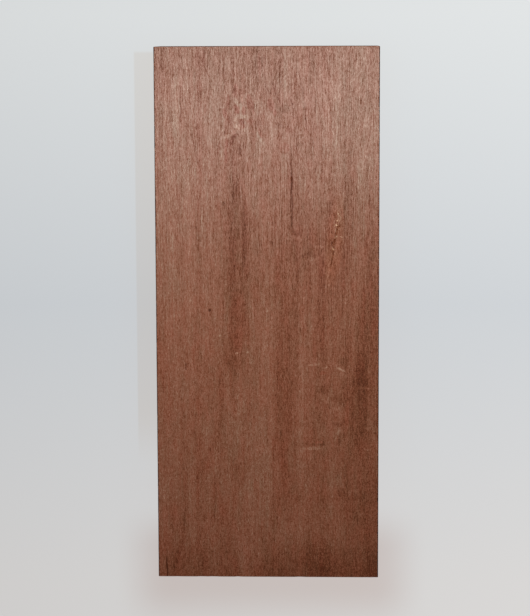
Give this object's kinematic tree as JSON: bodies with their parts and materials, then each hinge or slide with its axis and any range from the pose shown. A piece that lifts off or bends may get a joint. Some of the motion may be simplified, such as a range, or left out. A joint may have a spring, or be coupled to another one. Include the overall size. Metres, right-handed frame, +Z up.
{
  "type": "wood turning blank",
  "caption": "Rectangular block of red-brown hardwood for turning, planed on its long faces and cross-cut square at both ends.",
  "frame": {"origin": "centre of the underside", "axes": "+X across the width, +Y along the grain and the length, +Z up through the thickness"},
  "size_m": [0.127, 0.3048, 0.0508],
  "materials": {
    "wood": "bare planed hardwood, red-brown with darker growth bands and fine open pores, low sheen"
  },
  "bodies": {
    "root": {"blank": "wood"}
  },
  "joints": []
}
